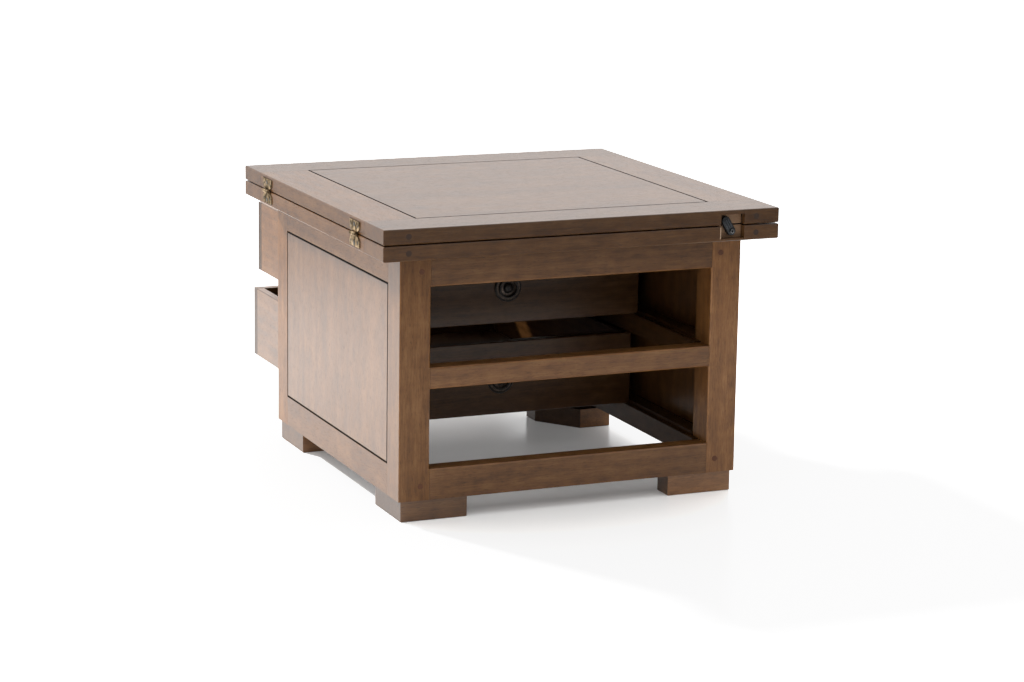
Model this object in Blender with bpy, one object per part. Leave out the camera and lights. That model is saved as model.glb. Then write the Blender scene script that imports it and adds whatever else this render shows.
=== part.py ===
"""Fold-over coffee table with two pass-through drawers, modelled as separate joined pieces."""
import math

import bmesh
import bpy
from mathutils import Matrix, Vector

# Folding top, in metres
TOP_WIDTH = 0.650
TOP_DEPTH = 0.650
LEAF_THICKNESS = 0.023
LEAF_GAP = 0.002
LEAF_FRAME_WIDTH = 0.0813
OVERHANG = 0.0423

# Carcase
POST_SIZE = 0.0493
TOP_RAIL_HEIGHT = 0.0487
MIDDLE_RAIL_HEIGHT = 0.0323
BOTTOM_RAIL_HEIGHT = 0.0474
OPENING_HEIGHT = 0.1237
RAIL_THICKNESS = 0.030
SIDE_RAIL_HEIGHT = 0.0484
SIDE_RAIL_THICKNESS = 0.025
SIDE_PANEL_THICKNESS = 0.018

# Feet
FOOT_SIZE = 0.108
FOOT_HEIGHT = 0.0328
FOOT_INSET = 0.005
FOOT_END_ACROSS = 0.055
FOOT_END_ALONG = 0.0365

# Joinery
FIT = 0.0003
EASE = 0.0012
OPENING_CHAMFER = 0.002
TENON_THICKNESS = 0.010
TENON_LENGTH = 0.024
LEAF_TENON_THICKNESS = 0.008
LEAF_TENON_LENGTH = 0.030
PANEL_GAP = 0.0025
TONGUE_THICKNESS = 0.008
TONGUE_LENGTH = 0.005
GROOVE_SPARE = 0.0005

# Drawers and their runners
RUNNER_WIDTH = 0.010
RUNNER_THICKNESS = 0.0317
GUIDE_HEIGHT = 0.0053
RUNNER_RISE = 0.002
DRAWER_SIDE_CLEARANCE = 0.001
DRAWER_TOP_CLEARANCE = 0.0023
DRAWER_FACE_THICKNESS = 0.018
DRAWER_SIDE_THICKNESS = 0.014
DRAWER_BOTTOM_THICKNESS = 0.006
DRAWER_BOTTOM_RISE = 0.008
DRAWER_GROOVE_DEPTH = 0.006
UPPER_DRAWER_PUSH = 0.256
LOWER_DRAWER_PUSH = 0.281

# Ring pulls
PULL_DROP = 0.002
PULL_PLATE_RADIUS = 0.023
PULL_PLATE_THICKNESS = 0.002
PULL_RIM_WIDTH = 0.003
PULL_RIM_RISE = 0.0008
PULL_BOSS_RADIUS = 0.0085
PULL_BOSS_HEIGHT = 0.0065
RING_RADIUS = 0.015
RING_WIRE_RADIUS = 0.0018
RING_STANDOFF = 0.0004
EYE_WIDTH = 0.006
EYE_WALL = 0.0013
EYE_CLEARANCE = 0.0005

# Turning pivot under the top
PIVOT_RAIL_WIDTH = 0.070
PIVOT_RAIL_THICKNESS = 0.025
PIVOT_TENON_LENGTH = 0.012
PIVOT_SHANK_RADIUS = 0.006
PIVOT_FLANGE_RADIUS = 0.032
PIVOT_FLANGE_THICKNESS = 0.003
PIVOT_NUT_RADIUS = 0.011
PIVOT_NUT_HEIGHT = 0.008

# Leaf hinges
HINGE_FROM_FRONT = 0.1195
HINGE_FROM_REAR = 0.1195
HINGE_PLATE_WIDTH = 0.045
HINGE_WAIST = 0.023
HINGE_PLATE_HEIGHT = 0.0195
HINGE_PLATE_THICKNESS = 0.0014
HINGE_AXIS_PROUD = 0.0034
KNUCKLE_RADIUS = 0.0030
HINGE_PIN_RADIUS = 0.0014

# Turn latch
LATCH_FROM_RIGHT = 0.0798
LATCH_POCKET_WIDTH = 0.040
LATCH_POCKET_DEPTH = 0.012
LATCH_COVER = 0.0065
LATCH_SILL = 0.0039
LATCH_PIVOT_RISE = 0.011
LATCH_END_RADIUS = 0.0068
LATCH_ARM_THICKNESS = 0.010
LATCH_ROOF_CLEARANCE = 0.0008
LATCH_LEAN = math.radians(31)
LATCH_SCREW_RADIUS = 0.002
LATCH_SCREW_HEAD_RADIUS = 0.0042
LATCH_SCREW_HEAD_HEIGHT = 0.0012
LATCH_SCREW_BITE = 0.014

# Roundness
RING_STEPS = 28
WIRE_STEPS = 8
ROUND_STEPS = 24
SMALL_STEPS = 12

# Levels and outlines worked out from the sizes above
HALF_WIDTH = TOP_WIDTH / 2 - OVERHANG
HALF_DEPTH = TOP_DEPTH / 2 - OVERHANG
INNER_X = HALF_WIDTH - POST_SIZE
INNER_Y = HALF_DEPTH - POST_SIZE
CARCASE_BOTTOM = FOOT_HEIGHT + FIT
LOWER_SILL = CARCASE_BOTTOM + BOTTOM_RAIL_HEIGHT
LOWER_HEAD = LOWER_SILL + OPENING_HEIGHT
UPPER_SILL = LOWER_HEAD + MIDDLE_RAIL_HEIGHT
UPPER_HEAD = UPPER_SILL + OPENING_HEIGHT
CARCASE_TOP = UPPER_HEAD + TOP_RAIL_HEIGHT
LEAF_BOTTOM = CARCASE_TOP + FIT
FOLD_LEVEL = LEAF_BOTTOM + LEAF_THICKNESS + LEAF_GAP / 2
UPPER_LEAF_BOTTOM = FOLD_LEVEL + LEAF_GAP / 2
LEAF_TOP = UPPER_LEAF_BOTTOM + LEAF_THICKNESS
FOLD_X = -TOP_WIDTH / 2 - HINGE_AXIS_PROUD
PIVOT_X = -TOP_WIDTH / 4
PIVOT_Y = TOP_WIDTH / 4
DRAWER_HALF_WIDTH = INNER_X - DRAWER_SIDE_CLEARANCE
HINGE_PLATE_OUT = HINGE_AXIS_PROUD - FIT - HINGE_PLATE_THICKNESS
HINGE_PLATE_START = math.sqrt(max((KNUCKLE_RADIUS + FIT) ** 2 - HINGE_PLATE_OUT ** 2, FIT ** 2))
PULL_PROUD = PULL_PLATE_THICKNESS + RING_STANDOFF + 2 * RING_WIRE_RADIUS + EYE_CLEARANCE + EYE_WALL

# The origin is the middle of the object's footprint on the floor, drawers included
LEFT_REACH = FOLD_X - KNUCKLE_RADIUS
RIGHT_REACH = TOP_WIDTH / 2
FRONT_REACH = -TOP_DEPTH / 2
REAR_REACH = HALF_DEPTH + max(UPPER_DRAWER_PUSH, LOWER_DRAWER_PUSH) + FIT + PULL_PROUD
TABLE_X = -(LEFT_REACH + RIGHT_REACH) / 2
TABLE_Y = -(FRONT_REACH + REAR_REACH) / 2

WALNUT = ("stained_wood", (0.19, 0.105, 0.058), 0.38, 0.0)
DRAWER_WOOD = ("drawer_wood", (0.12, 0.055, 0.032), 0.5, 0.0)
ANTIQUE_BRASS = ("antique_brass", (0.46, 0.34, 0.17), 0.35, 1.0)
DARK_BRONZE = ("dark_bronze", (0.075, 0.06, 0.05), 0.4, 1.0)
BLACK_STEEL = ("black_steel", (0.018, 0.02, 0.024), 0.42, 1.0)
PLAIN_STEEL = ("plain_steel", (0.5, 0.5, 0.5), 0.35, 1.0)


class Carrier:
    """An empty that carries pieces, with its place in the table's own coordinates."""

    def __init__(self, name, point, parent=None):
        self.point = Vector(point)
        self.empty = bpy.data.objects.new(name, None)
        bpy.context.scene.collection.objects.link(self.empty)
        if parent is None:
            self.empty.location = self.point + Vector((TABLE_X, TABLE_Y, 0))
        else:
            parent.carry(self.empty, self.point)

    def carry(self, thing, point):
        thing.parent = self.empty
        thing.location = Vector(point) - self.point


def clear_scene():
    for thing in list(bpy.data.objects):
        bpy.data.objects.remove(thing, do_unlink=True)


def finish(label):
    """The Principled material of that label, made once."""
    name, colour, roughness, metallic = label
    found = bpy.data.materials.get(name)
    if found:
        return found
    made = bpy.data.materials.new(name)
    made.use_nodes = True
    shader = made.node_tree.nodes["Principled BSDF"]
    shader.inputs["Base Color"].default_value = (*colour, 1)
    shader.inputs["Roughness"].default_value = roughness
    shader.inputs["Metallic"].default_value = metallic
    return made


def add_piece(name, shape, label, carrier, point, turn=0.0):
    """Makes a bmesh the named object, carried at that point of the table and turned about Z."""
    mesh = bpy.data.meshes.new(name)
    bmesh.ops.recalc_face_normals(shape, faces=shape.faces)
    shape.to_mesh(mesh)
    shape.free()
    piece = bpy.data.objects.new(name, mesh)
    piece.data.materials.append(finish(label))
    bpy.context.scene.collection.objects.link(piece)
    carrier.carry(piece, point)
    piece.rotation_euler.z = turn
    return piece


def block(low, high):
    """A box between two corners."""
    low, high = Vector(low), Vector(high)
    shape = bmesh.new()
    size = Matrix.Diagonal((*(high - low), 1))
    bmesh.ops.create_cube(shape, size=1, matrix=Matrix.Translation((low + high) / 2) @ size)
    return shape


def arris(shape, **place):
    """The edges with both ends at the given coordinates, such as y=-0.1 or x=0.2, z=0.4."""
    wanted = [("xyz".index(axis), at) for axis, at in place.items()]
    return [edge for edge in shape.edges
            if all(abs(end.co[axis] - at) < FIT for end in edge.verts for axis, at in wanted)]


def ease(shape, edges, width=EASE):
    """Takes the sharpness off some edges."""
    bmesh.ops.bevel(shape, geom=edges, offset=width, offset_type="OFFSET", segments=1, profile=0.5,
                    affect="EDGES", material=-1, clamp_overlap=True)


def combine(piece, shape, operation, suffix):
    """Adds a hidden tool shape to a piece, cut out of it or joined to it."""
    mesh = bpy.data.meshes.new(piece.name + suffix)
    bmesh.ops.recalc_face_normals(shape, faces=shape.faces)
    shape.to_mesh(mesh)
    shape.free()
    tool = bpy.data.objects.new(piece.name + suffix, mesh)
    bpy.context.scene.collection.objects.link(tool)
    tool.parent = piece
    tool.hide_render = True
    tool.display_type = "WIRE"
    change = piece.modifiers.new(suffix.strip("_"), "BOOLEAN")
    change.operation = operation
    change.object = tool
    change.solver = "EXACT"


def gather(shapes):
    """One bmesh that holds several separate shapes."""
    whole = bmesh.new()
    for shape in shapes:
        mesh = bpy.data.meshes.new("gathered")
        shape.to_mesh(mesh)
        shape.free()
        whole.from_mesh(mesh)
        bpy.data.meshes.remove(mesh)
    return whole


def cut_boxes(piece, middle, boxes, suffix="_cuts"):
    """Cuts boxes, given in the table's coordinates, out of a piece that is centred on middle."""
    combine(piece, gather([block(low - middle, high - middle) for low, high in boxes]), "DIFFERENCE", suffix)


def turned(profile, steps):
    """A solid of revolution about Z from (radius, height) points, first and last on the axis."""
    shape = bmesh.new()
    points = [shape.verts.new((radius, 0, height)) for radius, height in profile]
    edges = [shape.edges.new(pair) for pair in zip(points, points[1:])]
    bmesh.ops.spin(shape, geom=points + edges, cent=(0, 0, 0), axis=(0, 0, 1), angle=math.tau,
                   steps=steps, use_merge=True)
    bmesh.ops.remove_doubles(shape, verts=shape.verts, dist=1e-6)
    bmesh.ops.recalc_face_normals(shape, faces=shape.faces)
    return shape


def rod(radius, length, steps, axis):
    """A round bar centred on the origin along X, Y or Z."""
    turns = {"X": Matrix.Rotation(math.pi / 2, 4, "Y"), "Y": Matrix.Rotation(math.pi / 2, 4, "X"),
             "Z": Matrix.Identity(4)}
    shape = bmesh.new()
    bmesh.ops.create_cone(shape, cap_ends=True, segments=steps, radius1=radius, radius2=radius,
                          depth=length, matrix=turns[axis])
    return shape


def grown(low, high, amount=FIT):
    """A pair of corners moved apart by a clearance."""
    margin = Vector((amount, amount, amount))
    return low - margin, high + margin


def tenon_boxes(low, high, axis, inset, length):
    """The two tenons on the ends of a bar between low and high, as pairs of corners."""
    boxes = []
    for end in (-1, 1):
        a, b = Vector(low), Vector(high)
        for other in range(3):
            if other != axis:
                a[other] += inset
                b[other] -= inset
        if end < 0:
            a[axis], b[axis] = low[axis] - length, low[axis]
        else:
            a[axis], b[axis] = high[axis], high[axis] + length
        boxes.append((a, b))
    return boxes


def tenoned_bar(low, high, axis, inset, length):
    """A bar whose end faces are inset and drawn out into tenons, centred on its own middle."""
    middle = (Vector(low) + Vector(high)) / 2
    shape = block(Vector(low) - middle, Vector(high) - middle)
    for end in (-1, 1):
        face = next(f for f in shape.faces if f.normal[axis] * end > 0.9)
        bmesh.ops.inset_individual(shape, faces=[face], thickness=inset, use_even_offset=True)
        drawn = bmesh.ops.extrude_discrete_faces(shape, faces=[face])["faces"]
        reach = Vector((0, 0, 0))
        reach[axis] = end * length
        bmesh.ops.translate(shape, verts=drawn[0].verts, vec=reach)
    return shape, middle


def rail_levels():
    """Name, lower level and upper level of the three rails between a pair of posts."""
    return (("bottom", CARCASE_BOTTOM, LOWER_SILL), ("middle", LOWER_HEAD, UPPER_SILL),
            ("top", UPPER_HEAD, CARCASE_TOP))


def side_rail_levels():
    """Name, lower level and upper level of the two rails of a side frame."""
    return (("bottom", CARCASE_BOTTOM, CARCASE_BOTTOM + SIDE_RAIL_HEIGHT),
            ("top", CARCASE_TOP - SIDE_RAIL_HEIGHT, CARCASE_TOP))


RAIL_INSET = (RAIL_THICKNESS - TENON_THICKNESS) / 2
SIDE_RAIL_INSET = (SIDE_RAIL_THICKNESS - TENON_THICKNESS) / 2
PIVOT_RAIL_INSET = (PIVOT_RAIL_THICKNESS - TENON_THICKNESS) / 2
LEAF_INSET = (LEAF_THICKNESS - LEAF_TENON_THICKNESS) / 2
GROOVE_LENGTH = TONGUE_LENGTH + GROOVE_SPARE


def front_rail_corners(end, low, high):
    """Corners of a rail between posts; end is -1 at the front and 1 at the rear."""
    outer, inner = end * HALF_DEPTH, end * (HALF_DEPTH - RAIL_THICKNESS)
    return (Vector((-INNER_X + FIT, min(outer, inner), low)),
            Vector((INNER_X - FIT, max(outer, inner), high)))


def side_rail_corners(side, low, high):
    """Corners of a side rail; side is -1 at the left and 1 at the right."""
    outer, inner = side * HALF_WIDTH, side * (HALF_WIDTH - SIDE_RAIL_THICKNESS)
    return (Vector((min(outer, inner), -INNER_Y + FIT, low)),
            Vector((max(outer, inner), INNER_Y - FIT, high)))


def side_groove(side):
    """Corners of the space in a side frame that the panel's tongue sits in, clearance included."""
    centre = side * (HALF_WIDTH - SIDE_RAIL_THICKNESS / 2)
    half = TONGUE_THICKNESS / 2 + FIT
    low = CARCASE_BOTTOM + SIDE_RAIL_HEIGHT - GROOVE_LENGTH
    high = CARCASE_TOP - SIDE_RAIL_HEIGHT + GROOVE_LENGTH
    return (Vector((centre - half, -INNER_Y - GROOVE_LENGTH, low)),
            Vector((centre + half, INNER_Y + GROOVE_LENGTH, high)))


def pivot_rail_corners():
    """Corners of the rail that carries the top's pivot, between the top rails."""
    inner = HALF_DEPTH - RAIL_THICKNESS - FIT
    return (Vector((PIVOT_X - PIVOT_RAIL_WIDTH / 2, -inner, CARCASE_TOP - PIVOT_RAIL_THICKNESS)),
            Vector((PIVOT_X + PIVOT_RAIL_WIDTH / 2, inner, CARCASE_TOP)))


def make_posts(carcase):
    """Four square corner posts, mortised for the rails and grooved for the side panels."""
    for end, end_name in ((-1, "front"), (1, "rear")):
        for side, side_name in ((-1, "left"), (1, "right")):
            corner = Vector((side * HALF_WIDTH, end * HALF_DEPTH, 0))
            inner = Vector((side * INNER_X, end * INNER_Y, 0))
            low = Vector((min(corner.x, inner.x), min(corner.y, inner.y), CARCASE_BOTTOM))
            high = Vector((max(corner.x, inner.x), max(corner.y, inner.y), CARCASE_TOP))
            middle = (low + high) / 2
            shape = block(low - middle, high - middle)
            ease(shape, arris(shape, x=side * POST_SIZE / 2, y=end * POST_SIZE / 2))
            post = add_piece(f"post_{end_name}_{side_name}", shape, WALNUT, carcase, middle)
            cuts = []
            for _, bottom, top in rail_levels():
                bar = front_rail_corners(end, bottom, top)
                tenons = tenon_boxes(*bar, 0, RAIL_INSET, TENON_LENGTH)
                cuts.append(grown(*tenons[0 if side < 0 else 1]))
            for _, bottom, top in side_rail_levels():
                bar = side_rail_corners(side, bottom, top)
                tenons = tenon_boxes(*bar, 1, SIDE_RAIL_INSET, TENON_LENGTH)
                cuts.append(grown(*tenons[0 if end < 0 else 1]))
            cuts.append(side_groove(side))
            cut_boxes(post, middle, cuts)
            chamfers = []
            for sill, head in ((LOWER_SILL, LOWER_HEAD), (UPPER_SILL, UPPER_HEAD)):
                bar = OPENING_CHAMFER / math.sqrt(2)
                prism = block((-bar, -bar, sill - middle.z), (bar, bar, head - middle.z))
                bmesh.ops.rotate(prism, verts=prism.verts, cent=(0, 0, 0),
                                 matrix=Matrix.Rotation(math.pi / 4, 3, "Z"))
                bmesh.ops.translate(prism, verts=prism.verts,
                                    vec=(inner.x - middle.x, corner.y - middle.y, 0))
                chamfers.append(prism)
            combine(post, gather(chamfers), "DIFFERENCE", "_chamfers")


def make_front_and_rear_rails(carcase):
    """Three tenoned rails at the front and three at the rear, round the drawer openings."""
    eased = {"bottom": (1,), "middle": (-1, 1), "top": (-1,)}
    for end, end_name in ((-1, "front"), (1, "rear")):
        for level, bottom, top in rail_levels():
            low, high = front_rail_corners(end, bottom, top)
            shape, middle = tenoned_bar(low, high, 0, RAIL_INSET, TENON_LENGTH)
            half = (high - low) / 2
            for up in eased[level]:
                ease(shape, arris(shape, y=end * half.y, z=up * half.z), OPENING_CHAMFER)
            rail = add_piece(f"{end_name}_{level}_rail", shape, WALNUT, carcase, middle)
            if level == "top":
                tenons = tenon_boxes(*pivot_rail_corners(), 1, PIVOT_RAIL_INSET, PIVOT_TENON_LENGTH)
                cut_boxes(rail, middle, [grown(*tenons[0 if end < 0 else 1])])


def make_side_frames(carcase):
    """Side rails between the posts, and a flush panel that floats in their grooves."""
    for side, side_name in ((-1, "left"), (1, "right")):
        groove = side_groove(side)
        for level, bottom, top in side_rail_levels():
            low, high = side_rail_corners(side, bottom, top)
            shape, middle = tenoned_bar(low, high, 1, SIDE_RAIL_INSET, TENON_LENGTH)
            rail = add_piece(f"{side_name}_{level}_rail", shape, WALNUT, carcase, middle)
            run = [groove[0].copy(), groove[1].copy()]
            run[0].y, run[1].y = low.y - FIT, high.y + FIT
            cut_boxes(rail, middle, [run])
        outer = side * HALF_WIDTH
        back = side * (HALF_WIDTH - SIDE_PANEL_THICKNESS)
        low = Vector((min(outer, back), -INNER_Y + PANEL_GAP, CARCASE_BOTTOM + SIDE_RAIL_HEIGHT + PANEL_GAP))
        high = Vector((max(outer, back), INNER_Y - PANEL_GAP, CARCASE_TOP - SIDE_RAIL_HEIGHT - PANEL_GAP))
        middle = (low + high) / 2
        shape = block(low - middle, high - middle)
        panel = add_piece(f"{side_name}_side_panel", shape, WALNUT, carcase, middle)
        tongue = grown(*groove, -FIT)
        tongue[0].yz += Vector((GROOVE_SPARE, GROOVE_SPARE))
        tongue[1].yz -= Vector((GROOVE_SPARE, GROOVE_SPARE))
        combine(panel, block(tongue[0] - middle, tongue[1] - middle), "UNION", "_tongue")


def make_feet(carcase):
    """Block feet, set in from the carcase, with the inner corner cut off on the slant."""
    for end, end_name in ((-1, "front"), (1, "rear")):
        for side, side_name in ((-1, "left"), (1, "right")):
            outline = ((0, 0), (FOOT_SIZE, 0), (FOOT_SIZE, FOOT_END_ALONG),
                       (FOOT_END_ACROSS, FOOT_SIZE), (0, FOOT_SIZE))
            shape = bmesh.new()
            corners = [shape.verts.new((-side * x, -end * y, 0)) for x, y in outline]
            base = shape.faces.new(corners)
            drawn = bmesh.ops.extrude_face_region(shape, geom=[base])["geom"]
            top = [v for v in drawn if isinstance(v, bmesh.types.BMVert)]
            bmesh.ops.translate(shape, verts=top, vec=(0, 0, FOOT_HEIGHT))
            bmesh.ops.recalc_face_normals(shape, faces=shape.faces)
            ease(shape, arris(shape, z=0))
            place = (side * (HALF_WIDTH - FOOT_INSET), end * (HALF_DEPTH - FOOT_INSET), 0)
            add_piece(f"foot_{end_name}_{side_name}", shape, WALNUT, carcase, place)


def make_runners(carcase):
    """Drawer runners from rail to rail, each with a guide strip between the posts."""
    for level, sill in (("lower", LOWER_SILL), ("upper", UPPER_SILL)):
        for side, side_name in ((-1, "left"), (1, "right")):
            inner = INNER_X - RUNNER_WIDTH
            wall = HALF_WIDTH - SIDE_RAIL_THICKNESS - FIT
            top = sill + RUNNER_RISE
            reach = HALF_DEPTH - RAIL_THICKNESS - FIT
            xs = sorted((side * inner, side * (INNER_X - FIT)))
            low, high = Vector((xs[0], -reach, top - RUNNER_THICKNESS)), Vector((xs[1], reach, top))
            middle = (low + high) / 2
            shape = block(low - middle, high - middle)
            runner = add_piece(f"runner_{level}_{side_name}", shape, WALNUT, carcase, middle)
            xs = sorted((side * (INNER_X - DRAWER_SIDE_CLEARANCE / 2), side * wall))
            low = Vector((xs[0], -INNER_Y + FIT, top - RUNNER_THICKNESS))
            high = Vector((xs[1], INNER_Y - FIT, top + GUIDE_HEIGHT))
            combine(runner, block(low - middle, high - middle), "UNION", "_guide")


def make_pivot_rail(carcase):
    """The rail under the top that the pivot bolt passes through."""
    low, high = pivot_rail_corners()
    shape, middle = tenoned_bar(low, high, 1, PIVOT_RAIL_INSET, PIVOT_TENON_LENGTH)
    rail = add_piece("pivot_rail", shape, WALNUT, carcase, middle)
    bore = rod(PIVOT_SHANK_RADIUS + FIT, 2 * PIVOT_RAIL_THICKNESS, ROUND_STEPS, "Z")
    bmesh.ops.translate(bore, verts=bore.verts, vec=(PIVOT_X - middle.x, PIVOT_Y - middle.y, 0))
    combine(rail, bore, "DIFFERENCE", "_bore")


def latch_pocket():
    """Corners of the latch pocket that is cut into the front edges of both leaves."""
    centre = TOP_WIDTH / 2 - LATCH_FROM_RIGHT
    front = -TOP_DEPTH / 2
    low = Vector((centre - LATCH_POCKET_WIDTH / 2, front, LEAF_BOTTOM + LATCH_SILL))
    high = Vector((centre + LATCH_POCKET_WIDTH / 2, front + LATCH_POCKET_DEPTH, LEAF_TOP - LATCH_COVER))
    return low, high


def latch_pivot():
    """The point at the back of the pocket where the latch screw goes in."""
    low, high = latch_pocket()
    return Vector(((low.x + high.x) / 2, high.y, low.z + LATCH_PIVOT_RISE))


def make_leaf(name, bottom, carrier):
    """One leaf: full-width front and rear rails, stiles between them and a floating flush panel."""
    half_x, half_y = TOP_WIDTH / 2, TOP_DEPTH / 2
    inner_x, inner_y = half_x - LEAF_FRAME_WIDTH, half_y - LEAF_FRAME_WIDTH
    top = bottom + LEAF_THICKNESS
    centre = (bottom + top) / 2
    slot = TONGUE_THICKNESS / 2 + FIT
    stiles = {}
    for side, side_name in ((-1, "left"), (1, "right")):
        xs = sorted((side * half_x, side * inner_x))
        low = Vector((xs[0], -inner_y + FIT, bottom))
        high = Vector((xs[1], inner_y - FIT, top))
        stiles[side] = (low, high)
        shape, middle = tenoned_bar(low, high, 1, LEAF_INSET, LEAF_TENON_LENGTH)
        half = (high - low) / 2
        ease(shape, [e for up in (-1, 1) for e in arris(shape, x=side * half.x, z=up * half.z)])
        stile = add_piece(f"{name}_{side_name}_stile", shape, WALNUT, carrier, middle)
        edge = sorted((side * inner_x - side * FIT, side * (inner_x + GROOVE_LENGTH)))
        cut_boxes(stile, middle, [(Vector((edge[0], low.y - FIT, centre - slot)),
                                   Vector((edge[1], high.y + FIT, centre + slot)))])
    for end, end_name in ((-1, "front"), (1, "rear")):
        ys = sorted((end * half_y, end * inner_y))
        low, high = Vector((-half_x, ys[0], bottom)), Vector((half_x, ys[1], top))
        middle = (low + high) / 2
        shape = block(low - middle, high - middle)
        half = (high - low) / 2
        outer = arris(shape, y=end * half.y)
        outer += [e for x in (-1, 1) for z in (-1, 1) for e in arris(shape, x=x * half.x, z=z * half.z)]
        ease(shape, outer)
        rail = add_piece(f"{name}_{end_name}_rail", shape, WALNUT, carrier, middle)
        edge = sorted((end * inner_y - end * FIT, end * (inner_y + GROOVE_LENGTH)))
        cuts = [(Vector((-inner_x - GROOVE_LENGTH, edge[0], centre - slot)),
                 Vector((inner_x + GROOVE_LENGTH, edge[1], centre + slot)))]
        for side in (-1, 1):
            tenons = tenon_boxes(*stiles[side], 1, LEAF_INSET, LEAF_TENON_LENGTH)
            cuts.append(grown(*tenons[0 if end < 0 else 1]))
        cut_boxes(rail, middle, cuts)
        if end < 0:
            cut_latch_pocket(rail, middle)
    low = Vector((-inner_x + PANEL_GAP, -inner_y + PANEL_GAP, bottom))
    high = Vector((inner_x - PANEL_GAP, inner_y - PANEL_GAP, top))
    middle = (low + high) / 2
    panel = add_piece(f"{name}_panel", block(low - middle, high - middle), WALNUT, carrier, middle)
    reach = Vector((inner_x + TONGUE_LENGTH, inner_y + TONGUE_LENGTH, TONGUE_THICKNESS / 2))
    combine(panel, block(-reach, reach), "UNION", "_tongue")
    return panel, middle


def cut_latch_pocket(rail, middle):
    """Cuts this leaf's share of the latch pocket, and the hole for the latch screw."""
    low, high = latch_pocket()
    low.y -= LATCH_POCKET_DEPTH
    cut_boxes(rail, middle, [(low, high)], "_pocket")
    hole = rod(LATCH_SCREW_RADIUS + FIT, 2 * (LATCH_SCREW_BITE + FIT), SMALL_STEPS, "Y")
    bmesh.ops.translate(hole, verts=hole.verts, vec=latch_pivot() - middle)
    combine(rail, hole, "DIFFERENCE", "_screw_hole")


def make_pivot_bolt(lower_leaf, panel, middle):
    """Bolt with a flange let into the lower leaf, a shank through the pivot rail and a nut below."""
    level = LEAF_BOTTOM
    under = CARCASE_TOP - PIVOT_RAIL_THICKNESS - FIT
    profile = [(0, level + PIVOT_FLANGE_THICKNESS), (PIVOT_FLANGE_RADIUS, level + PIVOT_FLANGE_THICKNESS),
               (PIVOT_FLANGE_RADIUS, level), (PIVOT_SHANK_RADIUS, level), (PIVOT_SHANK_RADIUS, under),
               (PIVOT_NUT_RADIUS, under), (PIVOT_NUT_RADIUS, under - PIVOT_NUT_HEIGHT),
               (0, under - PIVOT_NUT_HEIGHT)]
    shape = turned([(r, z - level) for r, z in profile], ROUND_STEPS)
    add_piece("pivot_bolt", shape, PLAIN_STEEL, lower_leaf, (PIVOT_X, PIVOT_Y, level))
    seat = rod(PIVOT_FLANGE_RADIUS + FIT, 2 * (PIVOT_FLANGE_THICKNESS + FIT), ROUND_STEPS, "Z")
    bmesh.ops.translate(seat, verts=seat.verts, vec=Vector((PIVOT_X, PIVOT_Y, level)) - middle)
    combine(panel, seat, "DIFFERENCE", "_flange_seat")


def hinge_plate(up):
    """A butterfly hinge plate on a leaf's left edge; up is 1 for the upper leaf."""
    start = HINGE_PLATE_START
    points = [(-HINGE_WAIST / 2, start), (-HINGE_PLATE_WIDTH * 0.36, start + HINGE_PLATE_HEIGHT * 0.45),
              (-HINGE_PLATE_WIDTH / 2, HINGE_PLATE_HEIGHT), (HINGE_PLATE_WIDTH / 2, HINGE_PLATE_HEIGHT),
              (HINGE_PLATE_WIDTH * 0.36, start + HINGE_PLATE_HEIGHT * 0.45), (HINGE_WAIST / 2, start)]
    shape = bmesh.new()
    face = shape.faces.new([shape.verts.new((HINGE_AXIS_PROUD - FIT, y, up * z)) for y, z in points])
    drawn = bmesh.ops.extrude_face_region(shape, geom=[face])["geom"]
    bmesh.ops.translate(shape, verts=[v for v in drawn if isinstance(v, bmesh.types.BMVert)],
                        vec=(-HINGE_PLATE_THICKNESS, 0, 0))
    return shape


def knuckle(from_y, to_y, up):
    """One barrel length of a hinge, with the web that joins it to its plate."""
    barrel = rod(KNUCKLE_RADIUS, to_y - from_y, SMALL_STEPS, "Y")
    bmesh.ops.translate(barrel, verts=barrel.verts, vec=(0, (from_y + to_y) / 2, 0))
    zs = sorted((up * FIT, up * (HINGE_PLATE_START + EASE)))
    web = block((HINGE_PLATE_OUT - EASE, from_y, zs[0]), (HINGE_AXIS_PROUD - FIT, to_y, zs[1]))
    return barrel, web


def make_hinges(lower_leaf, upper_leaf):
    """Two brass butterfly hinges: the outer knuckles and the pin below, the middle knuckle above."""
    third = HINGE_WAIST / 3
    places = {"front": HINGE_FROM_FRONT - TOP_DEPTH / 2, "rear": TOP_DEPTH / 2 - HINGE_FROM_REAR}
    for end_name, place in places.items():
        point = (FOLD_X, place, FOLD_LEVEL)
        lower = add_piece(f"hinge_{end_name}_lower", hinge_plate(-1), ANTIQUE_BRASS, lower_leaf, point)
        for index, start in enumerate((-1.5 * third, 0.5 * third + FIT)):
            barrel, web = knuckle(start, start + third - FIT, -1)
            combine(lower, web, "UNION", f"_web_{index}")
            combine(lower, barrel, "UNION", f"_barrel_{index}")
        combine(lower, rod(HINGE_PIN_RADIUS, 2 * third, SMALL_STEPS, "Y"), "UNION", "_pin")
        upper = add_piece(f"hinge_{end_name}_upper", hinge_plate(1), ANTIQUE_BRASS, upper_leaf, point)
        barrel, web = knuckle(-0.5 * third + FIT, 0.5 * third - FIT, 1)
        combine(upper, web, "UNION", "_web")
        combine(upper, barrel, "UNION", "_barrel")
        combine(upper, rod(HINGE_PIN_RADIUS + FIT, 2 * third, SMALL_STEPS, "Y"), "DIFFERENCE", "_pin_hole")


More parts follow.
